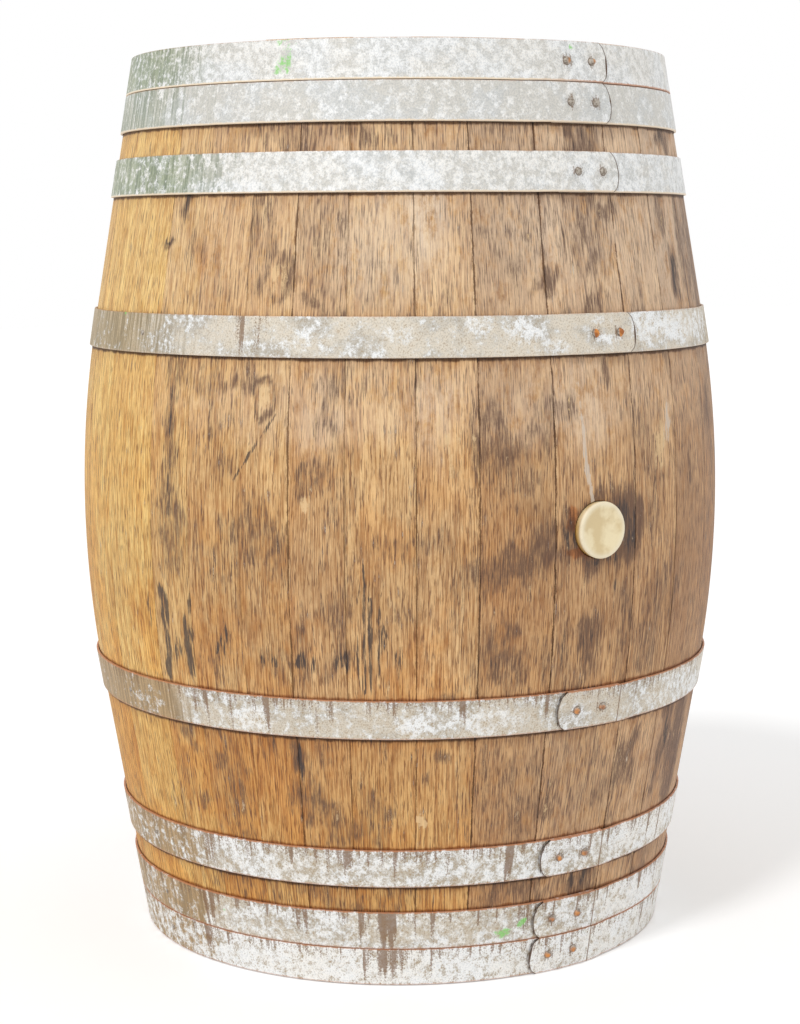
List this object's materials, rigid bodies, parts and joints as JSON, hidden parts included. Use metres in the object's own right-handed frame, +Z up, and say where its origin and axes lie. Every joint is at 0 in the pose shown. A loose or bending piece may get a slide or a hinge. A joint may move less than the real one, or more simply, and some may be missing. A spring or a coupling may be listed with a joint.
{
  "type": "oak barrel",
  "caption": "Upright coopered oak barrel with bowed staves, flat galvanised hoops lapped and riveted, boarded heads set in a croze, and a tapered bung that pulls out of the bilge.",
  "frame": {"origin": "centre of the flat ring of stave ends that the barrel stands on", "axes": "+Z up along the barrel's axis, -Y out through the bung"},
  "size_m": [0.6998, 0.707, 0.945],
  "materials": {
    "stave_oak": "weathered oak, planed, grey-brown to honey",
    "head_oak": "weathered oak boards",
    "hoop_zinc": "weathered galvanised strip with rusty cut edges",
    "rivet_steel": "dull galvanised steeple-head rivets",
    "nail_steel": "rusty round-head nails",
    "dowel_wood": "plain wooden pegs",
    "rush": "dried rush",
    "bung_silicone": "cream silicone, satin"
  },
  "bodies": {
    "barrel": {"bung_stave": "stave_oak", "stave_02": "stave_oak", "stave_03": "stave_oak", "stave_04": "stave_oak", "stave_05": "stave_oak", "stave_06": "stave_oak", "stave_07": "stave_oak", "stave_08": "stave_oak", "stave_09": "stave_oak", "stave_10": "stave_oak", "stave_11": "stave_oak", "stave_12": "stave_oak", "stave_13": "stave_oak", "stave_14": "stave_oak", "stave_15": "stave_oak", "stave_16": "stave_oak", "stave_17": "stave_oak", "stave_18": "stave_oak", "stave_19": "stave_oak", "stave_20": "stave_oak", "stave_21": "stave_oak", "stave_22": "stave_oak", "stave_23": "stave_oak", "stave_24": "stave_oak", "stave_25": "stave_oak", "stave_26": "stave_oak", "stave_27": "stave_oak", "stave_28": "stave_oak", "stave_29": "stave_oak", "stave_30": "stave_oak", "top_head_board_1": "head_oak", "top_head_board_2": "head_oak", "top_head_board_3": "head_oak", "top_head_board_4": "head_oak", "top_head_board_5": "head_oak", "top_head_board_6": "head_oak", "top_head_board_7": "head_oak", "top_head_board_8": "head_oak", "bottom_head_board_1": "head_oak", "bottom_head_board_2": "head_oak", "bottom_head_board_3": "head_oak", "bottom_head_board_4": "head_oak", "bottom_head_board_5": "head_oak", "bottom_head_board_6": "head_oak", "bottom_head_board_7": "head_oak", "bottom_head_board_8": "head_oak", "top_chime_hoop": "hoop_zinc", "top_collar_hoop": "hoop_zinc", "top_quarter_hoop": "hoop_zinc", "top_bilge_hoop": "hoop_zinc", "bottom_chime_hoop": "hoop_zinc", "bottom_collar_hoop": "hoop_zinc", "bottom_quarter_hoop": "hoop_zinc", "bottom_bilge_hoop": "hoop_zinc", "hoop_rivets": "rivet_steel", "hoop_nails": "nail_steel", "head_dowels": "dowel_wood", "head_rush_strips": "rush"},
    "bung": {"bung": "bung_silicone"}
  },
  "joints": [
    {"name": "bung_pull", "type": "slide", "parent": "barrel", "child": "bung", "axis": [0, -1, 0], "range_m": [0, 0.06]}
  ]
}
